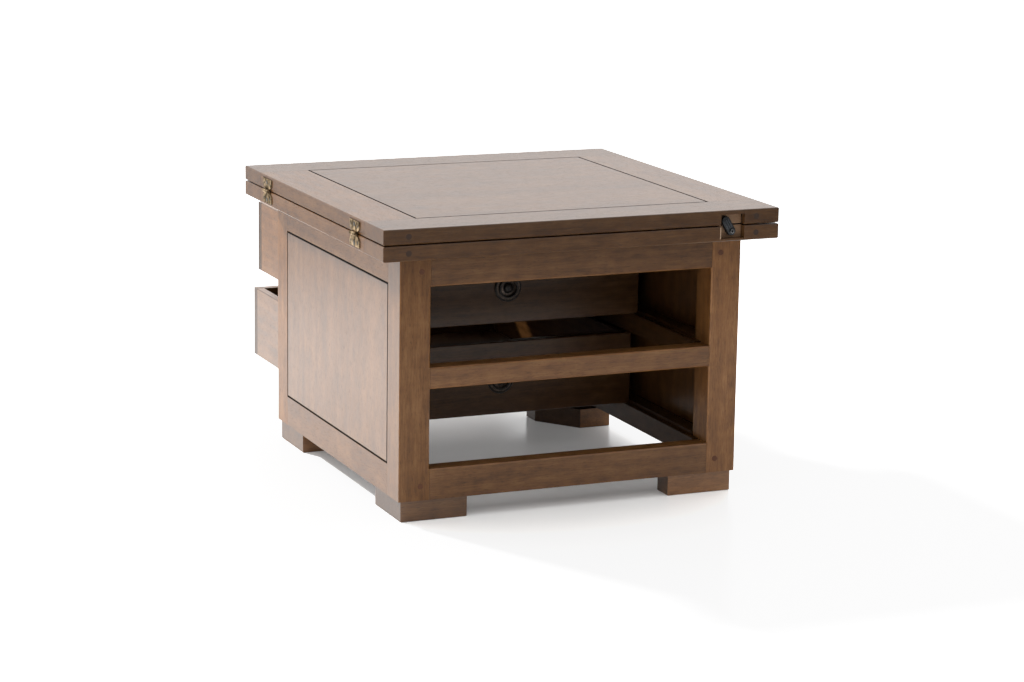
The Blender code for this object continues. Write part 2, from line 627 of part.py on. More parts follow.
def stadium(length, radius, thickness):
    """A bar with round ends in the XZ plane, its first end on the origin, its back at y = 0."""
    shape = bmesh.new()
    outline = []
    for centre, start in ((length, 0), (0, math.pi)):
        for step in range(SMALL_STEPS + 1):
            angle = start + math.pi * step / SMALL_STEPS
            outline.append((radius * math.cos(angle), centre + radius * math.sin(angle)))
    face = shape.faces.new([shape.verts.new((x, 0, z)) for x, z in outline])
    drawn = bmesh.ops.extrude_face_region(shape, geom=[face])["geom"]
    moved = [v for v in drawn if isinstance(v, bmesh.types.BMVert)]
    bmesh.ops.translate(shape, verts=moved, vec=(0, -thickness, 0))
    bmesh.ops.recalc_face_normals(shape, faces=shape.faces)
    return shape


def make_latch(lower_leaf, latch):
    """Black turn latch: a round-ended arm on a screw in the lower leaf, leaning to the left."""
    pivot = latch_pivot()
    reach = latch_pocket()[1].z - LATCH_ROOF_CLEARANCE - pivot.z
    shape = stadium(reach - LATCH_END_RADIUS, LATCH_END_RADIUS, LATCH_ARM_THICKNESS)
    ease(shape, arris(shape, y=-LATCH_ARM_THICKNESS))
    bmesh.ops.rotate(shape, verts=shape.verts, cent=(0, 0, 0), matrix=Matrix.Rotation(-LATCH_LEAN, 3, "Y"))
    arm = add_piece("latch_arm", shape, BLACK_STEEL, latch, pivot - Vector((0, FIT, 0)))
    hole = rod(LATCH_SCREW_RADIUS + FIT, 3 * LATCH_ARM_THICKNESS, SMALL_STEPS, "Y")
    combine(arm, hole, "DIFFERENCE", "_hole")
    head = LATCH_ARM_THICKNESS + 2 * FIT
    crown = head + LATCH_SCREW_HEAD_HEIGHT
    profile = [(0, crown), (LATCH_SCREW_HEAD_RADIUS * 0.6, crown),
               (LATCH_SCREW_HEAD_RADIUS, head + LATCH_SCREW_HEAD_HEIGHT / 3), (LATCH_SCREW_HEAD_RADIUS, head),
               (LATCH_SCREW_RADIUS, head), (LATCH_SCREW_RADIUS, -LATCH_SCREW_BITE), (0, -LATCH_SCREW_BITE)]
    screw = turned(profile, SMALL_STEPS)
    bmesh.ops.rotate(screw, verts=screw.verts, cent=(0, 0, 0), matrix=Matrix.Rotation(math.pi / 2, 3, "X"))
    add_piece("latch_screw", screw, PLAIN_STEEL, lower_leaf, pivot)


def make_drawer(name, sill, push, drawer):
    """A drawer open to both ends of the carcase: two faces, two sides and a let-in bottom."""
    bottom = sill + RUNNER_RISE + FIT
    top = sill + OPENING_HEIGHT - DRAWER_TOP_CLEARANCE
    panel_low = bottom + DRAWER_BOTTOM_RISE
    panel_high = panel_low + DRAWER_BOTTOM_THICKNESS
    side_reach = HALF_DEPTH - DRAWER_FACE_THICKNESS
    side_inner = DRAWER_HALF_WIDTH - DRAWER_SIDE_THICKNESS
    groove_x = side_inner + DRAWER_GROOVE_DEPTH
    groove_y = side_reach + DRAWER_GROOVE_DEPTH
    groove = [Vector((-groove_x, push - groove_y, panel_low)),
              Vector((groove_x, push + groove_y, panel_high))]
    for end, end_name in ((-1, "front"), (1, "rear")):
        ys = sorted((end * HALF_DEPTH + push, end * side_reach + push))
        low = Vector((-DRAWER_HALF_WIDTH, ys[0], bottom))
        high = Vector((DRAWER_HALF_WIDTH, ys[1], top))
        middle = (low + high) / 2
        shape = block(low - middle, high - middle)
        ease(shape, arris(shape, y=end * DRAWER_FACE_THICKNESS / 2))
        face = add_piece(f"{name}_{end_name}_face", shape, WALNUT, drawer, middle)
        cut_boxes(face, middle, [grown(*groove)])
        make_pull(f"{name}_{end_name}", Vector((0, end * HALF_DEPTH + push, (bottom + top) / 2 - PULL_DROP)),
                  end, drawer)
    for side, side_name in ((-1, "left"), (1, "right")):
        xs = sorted((side * DRAWER_HALF_WIDTH, side * side_inner))
        low = Vector((xs[0], -side_reach + FIT + push, bottom))
        high = Vector((xs[1], side_reach - FIT + push, top))
        middle = (low + high) / 2
        shape = block(low - middle, high - middle)
        half = (high - low) / 2
        ease(shape, [e for x in (-1, 1) for e in arris(shape, x=x * half.x, z=half.z)])
        board = add_piece(f"{name}_{side_name}_side", shape, DRAWER_WOOD, drawer, middle)
        cut_boxes(board, middle, [grown(*groove)])
    middle = (groove[0] + groove[1]) / 2
    add_piece(f"{name}_bottom", block(groove[0] - middle, groove[1] - middle), DRAWER_WOOD, drawer, middle)


def make_pull(name, point, end, drawer):
    """A round pull plate with a boss, and the ring that hangs from its eye on a carrier of its own."""
    turn = 0.0 if end < 0 else math.pi
    rim = PULL_PLATE_THICKNESS + PULL_RIM_RISE
    profile = [(0, PULL_BOSS_HEIGHT), (PULL_BOSS_RADIUS * 0.5, PULL_BOSS_HEIGHT * 0.93),
               (PULL_BOSS_RADIUS * 0.85, PULL_BOSS_HEIGHT * 0.65), (PULL_BOSS_RADIUS, PULL_PLATE_THICKNESS),
               (PULL_PLATE_RADIUS - PULL_RIM_WIDTH, PULL_PLATE_THICKNESS),
               (PULL_PLATE_RADIUS - PULL_RIM_WIDTH * 0.7, rim),
               (PULL_PLATE_RADIUS - PULL_RIM_WIDTH * 0.25, rim),
               (PULL_PLATE_RADIUS, PULL_PLATE_THICKNESS * 0.7), (PULL_PLATE_RADIUS, 0), (0, 0)]
    shape = turned(profile, RING_STEPS)
    bmesh.ops.rotate(shape, verts=shape.verts, cent=(0, 0, 0), matrix=Matrix.Rotation(math.pi / 2, 3, "X"))
    seat = point + Vector((0, end * FIT, 0))
    plate = add_piece(f"{name}_pull_plate", shape, DARK_BRONZE, drawer, seat, turn)
    bore_radius = RING_WIRE_RADIUS + EYE_CLEARANCE
    axis_out = PULL_PLATE_THICKNESS + RING_STANDOFF + RING_WIRE_RADIUS
    eye_half = bore_radius + EYE_WALL
    eye = block((-EYE_WIDTH / 2, -axis_out - eye_half, RING_RADIUS - eye_half),
                (EYE_WIDTH / 2, -PULL_PLATE_THICKNESS / 2, RING_RADIUS + eye_half))
    ease(eye, arris(eye, y=-axis_out - eye_half), EYE_WALL / 2)
    combine(plate, eye, "UNION", "_eye")
    bore = rod(bore_radius, 3 * EYE_WIDTH, SMALL_STEPS, "X")
    bmesh.ops.translate(bore, verts=bore.verts, vec=(0, -axis_out, RING_RADIUS))
    combine(plate, bore, "DIFFERENCE", "_eye_bore")
    hang = point + Vector((0, end * (FIT + axis_out), RING_RADIUS))
    ring_carrier = Carrier(f"{name}_ring_axis", hang, drawer)
    ring = bmesh.new()
    wire = [ring.verts.new((RING_RADIUS + RING_WIRE_RADIUS * math.cos(a), RING_WIRE_RADIUS * math.sin(a), 0))
            for a in (math.tau * step / WIRE_STEPS for step in range(WIRE_STEPS))]
    loop = [ring.edges.new((wire[i], wire[(i + 1) % WIRE_STEPS])) for i in range(WIRE_STEPS)]
    bmesh.ops.spin(ring, geom=wire + loop, cent=(0, 0, 0), axis=(0, 1, 0), angle=math.tau,
                   steps=RING_STEPS, use_merge=True)
    bmesh.ops.remove_doubles(ring, verts=ring.verts, dist=1e-6)
    bmesh.ops.translate(ring, verts=ring.verts, vec=(0, 0, -RING_RADIUS))
    add_piece(f"{name}_pull_ring", ring, DARK_BRONZE, ring_carrier, hang)


def main():
    clear_scene()
    carcase = Carrier("table", (0, 0, 0))
    make_posts(carcase)
    make_front_and_rear_rails(carcase)
    make_side_frames(carcase)
    make_feet(carcase)
    make_runners(carcase)
    make_pivot_rail(carcase)
    lower_leaf = Carrier("top_pivot", (PIVOT_X, PIVOT_Y, LEAF_BOTTOM), carcase)
    upper_leaf = Carrier("fold_axis", (FOLD_X, 0, FOLD_LEVEL), lower_leaf)
    latch = Carrier("latch_axis", latch_pivot(), lower_leaf)
    panel, middle = make_leaf("lower_leaf", LEAF_BOTTOM, lower_leaf)
    make_leaf("upper_leaf", UPPER_LEAF_BOTTOM, upper_leaf)
    make_pivot_bolt(lower_leaf, panel, middle)
    make_hinges(lower_leaf, upper_leaf)
    make_latch(lower_leaf, latch)
    for name, sill, push in (("lower_drawer", LOWER_SILL, LOWER_DRAWER_PUSH),
                             ("upper_drawer", UPPER_SILL, UPPER_DRAWER_PUSH)):
        drawer = Carrier(f"{name}_slide", (0, push, sill), carcase)
        make_drawer(name, sill, push, drawer)


main()
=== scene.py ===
import math

import bmesh
import bpy
from mathutils import Matrix, Vector


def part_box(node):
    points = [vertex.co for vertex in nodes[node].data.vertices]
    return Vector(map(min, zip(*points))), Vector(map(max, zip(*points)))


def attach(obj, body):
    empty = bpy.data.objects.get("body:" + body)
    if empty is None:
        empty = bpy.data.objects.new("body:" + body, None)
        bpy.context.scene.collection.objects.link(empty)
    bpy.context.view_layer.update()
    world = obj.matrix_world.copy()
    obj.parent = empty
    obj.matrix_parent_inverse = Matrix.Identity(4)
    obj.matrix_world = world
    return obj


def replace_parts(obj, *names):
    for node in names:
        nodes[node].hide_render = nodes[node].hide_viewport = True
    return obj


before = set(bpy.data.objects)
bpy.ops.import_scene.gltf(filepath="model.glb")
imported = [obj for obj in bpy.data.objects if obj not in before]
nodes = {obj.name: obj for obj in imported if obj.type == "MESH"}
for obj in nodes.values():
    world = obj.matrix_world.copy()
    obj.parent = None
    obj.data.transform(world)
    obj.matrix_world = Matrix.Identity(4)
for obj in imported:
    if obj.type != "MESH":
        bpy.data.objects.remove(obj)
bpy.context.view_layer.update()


# Corner posts: square hardwood posts with upright grain, mortised for every rail and glued up.
# All the table's wood has this finish, a warm brown stain that gathers in the pores under satin lacquer.
# The front left post has had a thin coat of wax over it since.
STAIN_DARK = (0.070, 0.027, 0.008, 1)
STAIN_MIDDLE = (0.150, 0.063, 0.018, 1)
STAIN_LIGHT = (0.235, 0.112, 0.040, 1)
STAIN_DARK_AT = 0.15
STAIN_MIDDLE_AT = 0.5
STAIN_LIGHT_AT = 0.85


def put(tree, kind, inputs, **settings):
    """Adds a shader node with its settings, and gives its inputs a value or another node's socket."""
    made = tree.nodes.new("ShaderNode" + kind)
    for name, value in settings.items():
        setattr(made, name, value)
    for key, value in inputs.items():
        if isinstance(value, bpy.types.NodeSocket):
            tree.links.new(value, made.inputs[key])
        else:
            made.inputs[key].default_value = value
    return made


def share_of(tree, value, share, rest):
    """A value times its share, added to the rest."""
    return put(tree, "Math", {0: value, 1: share, 2: rest}, operation="MULTIPLY_ADD").outputs[0]


def held_range(tree, value, start, stop, low=0.0, high=1.0):
    """Goes from low to high as a value goes from start to stop, and is held there beyond them."""
    return put(tree, "MapRange", {0: value, 1: start, 2: stop, 3: low, 4: high}).outputs[0]


def largest_of(tree, parts):
    """The largest of a vector's three parts."""
    largest = put(tree, "Math", {0: parts["X"], 1: parts["Y"]}, operation="MAXIMUM").outputs[0]
    return put(tree, "Math", {0: largest, 1: parts["Z"]}, operation="MAXIMUM").outputs[0]


def group_with_sockets(name, inputs, outputs):
    """A shader node group with named sockets, and its input and output nodes."""
    group = bpy.data.node_groups.new(name, "ShaderNodeTree")
    for socket, kind in inputs.items():
        group.interface.new_socket(socket, in_out="INPUT", socket_type="NodeSocket" + kind)
    for socket, kind in outputs.items():
        group.interface.new_socket(socket, in_out="OUTPUT", socket_type="NodeSocket" + kind)
    return group, group.nodes.new("NodeGroupInput").outputs, group.nodes.new("NodeGroupOutput").inputs


FIBRES_TO_METRE = (30, 420, 420)
CLOUDS_TO_METRE = (9, 22, 22)
BLOTCHES_TO_METRE = (38, 62, 62)
PORES_TO_METRE = (110, 1500, 1500)
PORE_RIM = 0.40
PORE_CORE = 0.32
RING_STRETCH = (0.1, 1, 1)
RINGS_TO_METRE = 22
RING_WANDER = 4
DEPTH_START = -0.36
CLOUD_SHARE = 0.45
RING_SHARE = 0.10
BLOTCH_SHARE = 0.58
FIBRE_SHARE = 0.60
END_FACING = (0.6, 0.9)
ARRIS_FACING = (0.95, 0.85)
PORE_SHADE = -0.4
PORE_RELIEF = -0.6
LACQUER_DULL = 0.25
FIBRE_DULL = 0.14
PORE_DULL = 0.12
GROOVE_DULL = 0.6

grain, grain_in, grain_out = group_with_sockets(
    "Stained grain",
    {"Along": "Vector", "Facing": "Vector", "Tone": "Float", "Ends": "Float", "Arris": "Float",
     "Groove": "Float"},
    {"Colour": "Color", "Roughness": "Float", "Height": "Float"})


def grain_noise(stretch, detail):
    """Noise that is drawn out along the board; stretch is in features to the metre."""
    drawn = put(grain, "VectorMath", {0: grain_in["Along"], 1: stretch}, operation="MULTIPLY")
    return put(grain, "TexNoise", {"Vector": drawn.outputs[0], "Scale": 1, "Detail": detail}).outputs[0]


fibres = grain_noise(FIBRES_TO_METRE, 4)
clouds = grain_noise(CLOUDS_TO_METRE, 4)
blotches = grain_noise(BLOTCHES_TO_METRE, 5)
pores = held_range(grain, grain_noise(PORES_TO_METRE, 1), PORE_RIM, PORE_CORE)
slow = put(grain, "VectorMath", {0: grain_in["Along"], 1: RING_STRETCH}, operation="MULTIPLY")
rings = put(grain, "TexWave",
            {"Vector": slow.outputs[0], "Scale": RINGS_TO_METRE, "Distortion": RING_WANDER, "Detail": 2},
            wave_type="RINGS", rings_direction="X").outputs[1]
depth = DEPTH_START
for figure, share in ((clouds, CLOUD_SHARE), (rings, RING_SHARE), (blotches, BLOTCH_SHARE),
                      (fibres, FIBRE_SHARE)):
    depth = share_of(grain, figure, share, depth)
ramp = put(grain, "ValToRGB", {0: depth})
stops = ramp.color_ramp.elements
stops[0].position = STAIN_DARK_AT
stops[0].color = STAIN_DARK
stops[1].position = STAIN_LIGHT_AT
stops[1].color = STAIN_LIGHT
stops.new(STAIN_MIDDLE_AT).color = STAIN_MIDDLE
toned = put(grain, "VectorMath", {0: ramp.outputs[0], "Scale": grain_in["Tone"]}, operation="SCALE")
facing = put(grain, "VectorMath", {0: grain_in["Facing"]}, operation="ABSOLUTE").outputs[0]
facing = put(grain, "SeparateXYZ", {0: facing}).outputs
# Ends and Arris scale the colour on end-grain faces and on edge bevels; a paler arris is a painted
# highlight, a darker one painted shade.
ends = held_range(grain, facing["X"], *END_FACING, 1.0, grain_in["Ends"])
arris = held_range(grain, largest_of(grain, facing), *ARRIS_FACING, 1.0, grain_in["Arris"])
shade = share_of(grain, pores, PORE_SHADE, 1.0)
# Groove brings the stain and painted shade along the groove lines.
for part in (ends, arris, grain_in["Groove"]):
    shade = put(grain, "Math", {0: shade, 1: part}, operation="MULTIPLY").outputs[0]
coloured = put(grain, "VectorMath", {0: toned.outputs[0], "Scale": shade}, operation="SCALE")
dull = share_of(grain, fibres, FIBRE_DULL, LACQUER_DULL)
dull = share_of(grain, pores, PORE_DULL, dull)
dull = share_of(grain, grain_in["Groove"], -GROOVE_DULL, dull)
dull = put(grain, "Math", {0: dull, 1: GROOVE_DULL}, operation="ADD").outputs[0]
grain.links.new(coloured.outputs[0], grain_out["Colour"])
grain.links.new(dull, grain_out["Roughness"])
grain.links.new(share_of(grain, pores, PORE_RELIEF, fibres), grain_out["Height"])

# Stain gathered along the groove lines round the panels, and painted shade of the groove: the colour there
# drops to a tenth and the lacquer is duller.
GROOVE_STAIN_AND_SHADE_FULL = 0.0015
GROOVE_STAIN_AND_SHADE_END = 0.0020
GROOVE_SHADE = 0.10

groove, groove_in, groove_out = group_with_sockets(
    "Groove stain and painted shade", {"Place": "Vector", "Middle": "Vector", "Half": "Vector"}, {"Shade": "Float"})
away = put(groove, "VectorMath", {0: groove_in["Place"], 1: groove_in["Middle"]}, operation="SUBTRACT")
away = put(groove, "VectorMath", {0: away.outputs[0]}, operation="ABSOLUTE")
away = put(groove, "VectorMath", {0: away.outputs[0], 1: groove_in["Half"]}, operation="SUBTRACT")
away = put(groove, "SeparateXYZ", {0: away.outputs[0]}).outputs
beyond = put(groove, "Math", {0: largest_of(groove, away)}, operation="ABSOLUTE").outputs[0]
stain_and_painted_shade = held_range(groove, beyond, GROOVE_STAIN_AND_SHADE_FULL, GROOVE_STAIN_AND_SHADE_END, GROOVE_SHADE)
groove.links.new(stain_and_painted_shade, groove_out["Shade"])

GRAIN_TURNS = {"x": (0, 0, 0), "y": (0, 0, -math.pi / 2), "z": (0, math.pi / 2, 0)}
LOG_STEP = 0.61
LOG_DEPTH = 0.07
LOG_DEPTH_STEP = 0.031
LOG_SIDE = 0.05
LOG_SIDE_STEP = 0.043
GRAIN_BUMP = 0.12
GRAIN_RELIEF = 0.0006
DARK_ENDS = 0.5
SATIN = 0.3
WAX_IOR = 1.2
WAX_ROUGHNESS = 0.35
stained = []


def stain(node, along, tone, ends=DARK_ENDS, arris=1.0, sheen=SATIN, wax=0, groove_round=None):
    """Stains one board, sawn from its own place in the log, with its grain along an axis.

    ends and arris shade its end grain and its edges; groove_round is the line of a groove that it meets."""
    # Along groove_round's line the colour darkens, stain and painted shade; an arris above 1 is a painted
    # highlight, below 1 painted shade.
    count = len(stained)
    stained.append(node)
    finish = bpy.data.materials.new(f"{node}_stain")
    finish.use_nodes = True
    tree = finish.node_tree
    place = put(tree, "TexCoord", {}).outputs["Object"]
    shift = (LOG_STEP * count, LOG_DEPTH + LOG_DEPTH_STEP * (count % 7),
             LOG_SIDE + LOG_SIDE_STEP * (count % 5))
    run = put(tree, "Mapping", {"Vector": place, "Location": shift, "Rotation": GRAIN_TURNS[along]})
    side = put(tree, "TexCoord", {}).outputs["Normal"]
    facing = put(tree, "Mapping", {"Vector": side, "Rotation": GRAIN_TURNS[along]}, vector_type="NORMAL")
    wood = put(tree, "Group", {}, node_tree=grain)
    tree.links.new(run.outputs[0], wood.inputs["Along"])
    tree.links.new(facing.outputs[0], wood.inputs["Facing"])
    for name, value in (("Tone", tone), ("Ends", ends), ("Arris", arris), ("Groove", 1.0)):
        wood.inputs[name].default_value = value
    if groove_round:
        middle, half = groove_round
        line = put(tree, "Group", {}, node_tree=groove)
        tree.links.new(place, line.inputs["Place"])
        line.inputs["Middle"].default_value = middle
        line.inputs["Half"].default_value = half
        tree.links.new(line.outputs["Shade"], wood.inputs["Groove"])
    lift = put(tree, "Bump", {"Height": wood.outputs["Height"], "Strength": GRAIN_BUMP,
                              "Distance": GRAIN_RELIEF})
    lacquer = tree.nodes["Principled BSDF"]
    tree.links.new(wood.outputs["Colour"], lacquer.inputs["Base Color"])
    tree.links.new(wood.outputs["Roughness"], lacquer.inputs["Roughness"])
    tree.links.new(lift.outputs["Normal"], lacquer.inputs["Normal"])
    lacquer.inputs["Specular IOR Level"].default_value = sheen
    lacquer.inputs["Coat Weight"].default_value = wax
    lacquer.inputs["Coat IOR"].default_value = WAX_IOR
    lacquer.inputs["Coat Roughness"].default_value = WAX_ROUGHNESS
    nodes[node].data.materials.clear()
    nodes[node].data.materials.append(finish)


PANEL_TONGUE = 0.005
PANEL_GAP = 0.0025


def groove_line(panel, thin):
    """Middle and half size of the groove's centre line round a panel that is thin along an axis."""
    low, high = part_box(panel)
    half = (high - low) / 2 - Vector((1, 1, 1)) * (PANEL_TONGUE + PANEL_GAP / 2)
    half["xyz".index(thin)] = 1
    return (low + high) / 2, half


# The edge bevels of the posts and of the front and rear rails are coloured paler: a painted highlight.
PAINTED_HIGHLIGHT_ARRIS = 1.4
POST_FINISH = {"front_left": (0.66, 0.12, 1.0), "front_right": (0.96, SATIN, 0),
               "rear_left": (0.85, SATIN, 0), "rear_right": (0.9, SATIN, 0)}
for corner, (tone, sheen, wax) in POST_FINISH.items():
    side = corner.split("_")[1]
    stain(f"post_{corner}", "z", tone, arris=PAINTED_HIGHLIGHT_ARRIS, sheen=sheen, wax=wax,
          groove_round=groove_line(f"{side}_side_panel", "x"))


# Rails between the posts: three at the front and three at the rear, round the drawer openings.
# Each is tenoned into the posts and lies flush with them; the stain took less evenly than on the posts.
RAIL_TONES = {"top": 0.55, "middle": 0.71, "bottom": 0.63}
for end in ("front", "rear"):
    for level, tone in RAIL_TONES.items():
        stain(f"{end}_{level}_rail", "x", tone, arris=PAINTED_HIGHLIGHT_ARRIS)


# Side frames: a top and a bottom rail between the posts, and a wide panel that floats in their grooves.
# The panel is flush with the frame; the gap left for it to move in shows as a dark line, widened by stain
# and painted shade along the groove.
SIDE_TOP_TONE = 0.88
SIDE_BOTTOM_TONE = 0.62
SIDE_BOTTOM_SHEEN = 0.42
PANEL_FINISH = {"left": (0.63, 0.7), "right": (0.6, 0.3)}
for side, (tone, sheen) in PANEL_FINISH.items():
    line = groove_line(f"{side}_side_panel", "x")
    stain(f"{side}_top_rail", "y", SIDE_TOP_TONE, groove_round=line)
    stain(f"{side}_bottom_rail", "y", SIDE_BOTTOM_TONE, sheen=SIDE_BOTTOM_SHEEN, groove_round=line)
    stain(f"{side}_side_panel", "z", tone, sheen=sheen, groove_round=line)


# Feet: short blocks glued and screwed under the corners, the inner corner sawn off on the slant.
# Three have their grain across the front; the fourth has its grain the other way, its ends painted paler and
# the block darker, painted light on its front end and painted shade on its slanted face.
FOOT_BLOCKS = {"front_left": ("x", 0.58, DARK_ENDS, 0.5), "front_right": ("x", 1.0, DARK_ENDS, 0.5),
               "rear_left": ("x", 0.85, DARK_ENDS, 0.5), "rear_right": ("y", 0.36, 3.0, SATIN)}
for corner, (along, tone, ends, sheen) in FOOT_BLOCKS.items():
    stain(f"foot_{corner}", along, tone, ends=ends, sheen=sheen)


# Runners and the pivot rail: inside pieces of the carcase, stained dark without care for their figure.
# The runners carry the drawers between the front and rear rails, and the pivot rail holds the top's bolt.
RUNNER_TONE = 0.27
RUNNER_SHEEN = 0.15
PIVOT_RAIL_TONE = 0.7
for level in ("lower", "upper"):
    for side in ("left", "right"):
        stain(f"runner_{level}_{side}", "y", RUNNER_TONE, sheen=RUNNER_SHEEN)
stain("pivot_rail", "y", PIVOT_RAIL_TONE)


# Leaves of the folding top: two alike, each a frame of wide boards round a flush panel in a shadow groove.
# The front and rear boards run the full width, so that their ends show at the sides.
# The stiles are tenoned between them.
LEAF_TONES = {"lower_leaf": 0.375, "upper_leaf": 0.31}
PALE_ENDS = 1.3
LEFT_STILE_SHARE = 1.5
LEFT_STILE_SHEEN = 0.25
RIGHT_STILE_SHARE = 1.25
LEAF_PANEL_SHARE = 1.15
for leaf, tone in LEAF_TONES.items():
    line = groove_line(f"{leaf}_panel", "z")
    stain(f"{leaf}_front_rail", "x", tone, ends=PALE_ENDS, groove_round=line)
    stain(f"{leaf}_rear_rail", "x", tone, ends=PALE_ENDS, groove_round=line)
    stain(f"{leaf}_left_stile", "y", tone * LEFT_STILE_SHARE, sheen=LEFT_STILE_SHEEN, groove_round=line)
    stain(f"{leaf}_right_stile", "y", tone * RIGHT_STILE_SHARE, groove_round=line)
    stain(f"{leaf}_panel", "x", tone * LEAF_PANEL_SHARE, groove_round=line)


# Drawers: two open boxes with a face at each end, so that they pull out to the front or to the rear.
# The sides and the bottom are plainer boards, butted and glued; the sides' edge bevels are coloured darker,
# painted shade so that they catch no highlight.
FRONT_FACE_TONE = 0.33
REAR_FACE_TONE = 0.5
LEFT_SIDE_FINISH = {"upper_drawer": (0.8, 0.42), "lower_drawer": (0.64, 0.66)}
RIGHT_SIDE_TONE = 0.4
DRAWER_BOTTOM_TONE = 0.27
DRAWER_BOTTOM_SHEEN = 0.5
PAINTED_SHADE_ARRIS = 0.5
for drawer, (tone, sheen) in LEFT_SIDE_FINISH.items():
    stain(f"{drawer}_front_face", "x", FRONT_FACE_TONE)
    stain(f"{drawer}_rear_face", "x", REAR_FACE_TONE)
    stain(f"{drawer}_left_side", "y", tone, arris=PAINTED_SHADE_ARRIS, sheen=sheen)
    stain(f"{drawer}_right_side", "y", RIGHT_SIDE_TONE, arris=PAINTED_SHADE_ARRIS)
    stain(f"{drawer}_bottom", "x", DRAWER_BOTTOM_TONE, sheen=DRAWER_BOTTOM_SHEEN)


# Pegs: turned dowels driven through the posts and the leaf boards to lock the tenons behind them.
# They are cut off and sanded flush, and their end grain drinks the stain and turns nearly black.
PEG_RADIUS = 0.0047
PEG_TAPER = 0.96
PEG_PROUD = 0.00002
PEG_DEPTH = 0.0006
PEG_FROM_INNER_EDGE = 0.0145
PEG_BELOW_TOP = 0.025
PEG_ABOVE_BOTTOM = 0.022
PEG_FROM_LEAF_END = 0.0395
SPECKS_TO_METRE = 900
SPECK_BUMP = 0.2
SPECK_RELIEF = 0.0002
CUT_ROUGHNESS = 0.6
CUT_SHEEN = 0.25
SHARP = math.radians(35)


def end_grain(name, dark, light):
    """A dull, speckled finish for wood cut across its grain, between two colours."""
    finish = bpy.data.materials.new(name)
    finish.use_nodes = True
    tree = finish.node_tree
    place = put(tree, "TexCoord", {}).outputs["Object"]
    speckle = put(tree, "TexNoise", {"Vector": place, "Scale": SPECKS_TO_METRE, "Detail": 2}).outputs[0]
    dots = put(tree, "ValToRGB", {0: speckle})
    dots.color_ramp.elements[0].color = (*dark, 1)
    dots.color_ramp.elements[1].color = (*light, 1)
    lift = put(tree, "Bump", {"Height": speckle, "Strength": SPECK_BUMP, "Distance": SPECK_RELIEF})
    shader = tree.nodes["Principled BSDF"]
    tree.links.new(dots.outputs[0], shader.inputs["Base Color"])
    tree.links.new(lift.outputs["Normal"], shader.inputs["Normal"])
    shader.inputs["Roughness"].default_value = CUT_ROUGHNESS
    shader.inputs["Specular IOR Level"].default_value = CUT_SHEEN
    return finish


post_peg_end = end_grain("post_peg_end", (0.024, 0.008, 0.003), (0.108, 0.038, 0.014))
leaf_peg_end = end_grain("leaf_peg_end", (0.010, 0.005, 0.003), (0.036, 0.017, 0.009))


def finished(name, shape, material, body):
    """Makes a bmesh a piece of the object that rides a body and takes its finish from a slot."""
    bmesh.ops.recalc_face_normals(shape, faces=shape.faces)
    mesh = bpy.data.meshes.new(name)
    shape.to_mesh(mesh)
    shape.free()
    mesh.materials.append(material)
    mesh.polygons.foreach_set("use_smooth", [True] * len(mesh.polygons))
    mesh.set_sharp_from_angle(angle=SHARP)
    piece = bpy.data.objects.new(name, mesh)
    bpy.context.scene.collection.objects.link(piece)
    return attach(piece, body)


def peg_ends(name, places, material, body):
    """Round peg ends on faces that look to the front (-1) or to the rear (1)."""
    shape = bmesh.new()
    for point, facing in places:
        out = Matrix.Rotation(-facing * math.pi / 2, 4, "X")
        middle = Vector(point) + Vector((0, facing * (PEG_PROUD - PEG_DEPTH / 2), 0))
        bmesh.ops.create_cone(shape, cap_ends=True, segments=24, radius1=PEG_RADIUS,
                              radius2=PEG_RADIUS * PEG_TAPER, depth=PEG_DEPTH,
                              matrix=Matrix.Translation(middle) @ out)
    finished(name, shape, material, body)


post_pegs = []
for end, facing in (("front", -1), ("rear", 1)):
    for side in ("left", "right"):
        low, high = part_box(f"post_{end}_{side}")
        x = high.x - PEG_FROM_INNER_EDGE if side == "left" else low.x + PEG_FROM_INNER_EDGE
        y = low.y if facing < 0 else high.y
        post_pegs.append(((x, y, high.z - PEG_BELOW_TOP), facing))
        post_pegs.append(((x, y, low.z + PEG_ABOVE_BOTTOM), facing))
peg_ends("post_pegs", post_pegs, post_peg_end, "carcase")
for leaf in ("lower_leaf", "upper_leaf"):
    leaf_pegs = []
    for end, facing in (("front", -1), ("rear", 1)):
        low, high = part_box(f"{leaf}_{end}_rail")
        y = low.y if facing < 0 else high.y
        for x in (low.x + PEG_FROM_LEAF_END, high.x - PEG_FROM_LEAF_END):
            leaf_pegs.append(((x, y, (low.z + high.z) / 2), facing))
    peg_ends(f"{leaf}_pegs", leaf_pegs, leaf_peg_end, leaf)


# Hinges: two cast butterfly hinges of antique brass on the left edges of the leaves.
# Each wing has three sunk screws; a dark sheet a little larger than the wing lies under it, shifted to the
# rear, painted shade round the wing.
# The lower wing holds the pin and two knuckles, the upper wing the knuckle between them.
HINGE_WAIST = 0.023
HINGE_WING = 0.041
HINGE_HEIGHT = 0.0195
WING_START = 0.0029
WING_BEND_WIDTH = 0.033
WING_BEND = 0.0058
WING_BEND_ROUND = 0.0022
WING_FULL = 0.0090
WING_THICKNESS = 0.0014
WING_RIM_ROUND = 0.0004
WING_GAP = 0.0003
KNUCKLE_RADIUS = 0.0030
KNUCKLE_ROUND = KNUCKLE_RADIUS * 0.15
KNUCKLE_GAP = 0.0002
WEB_RISE = 0.75
AXIS_FROM_LEAF = 0.0034
PAINTED_SHADE_MARGIN = 0.0009
PAINTED_SHADE_SHIFT = 0.0009
PAINTED_SHADE_DEPTH = 0.7
PAINTED_SHADE_BED = 0.1
SCREW_RISE = 0.16
SCREW_DOME = ((0, 1), (0.45, 0.9), (0.8, 0.55), (1, 0), (0, 0))
SCREW_TOP = 0.4
SCREW_SLOT = 0.14
SLOT_DEPTH = 0.5
SLOT_TURN = 0.5
SLOT_TURN_TO_METRE = 40
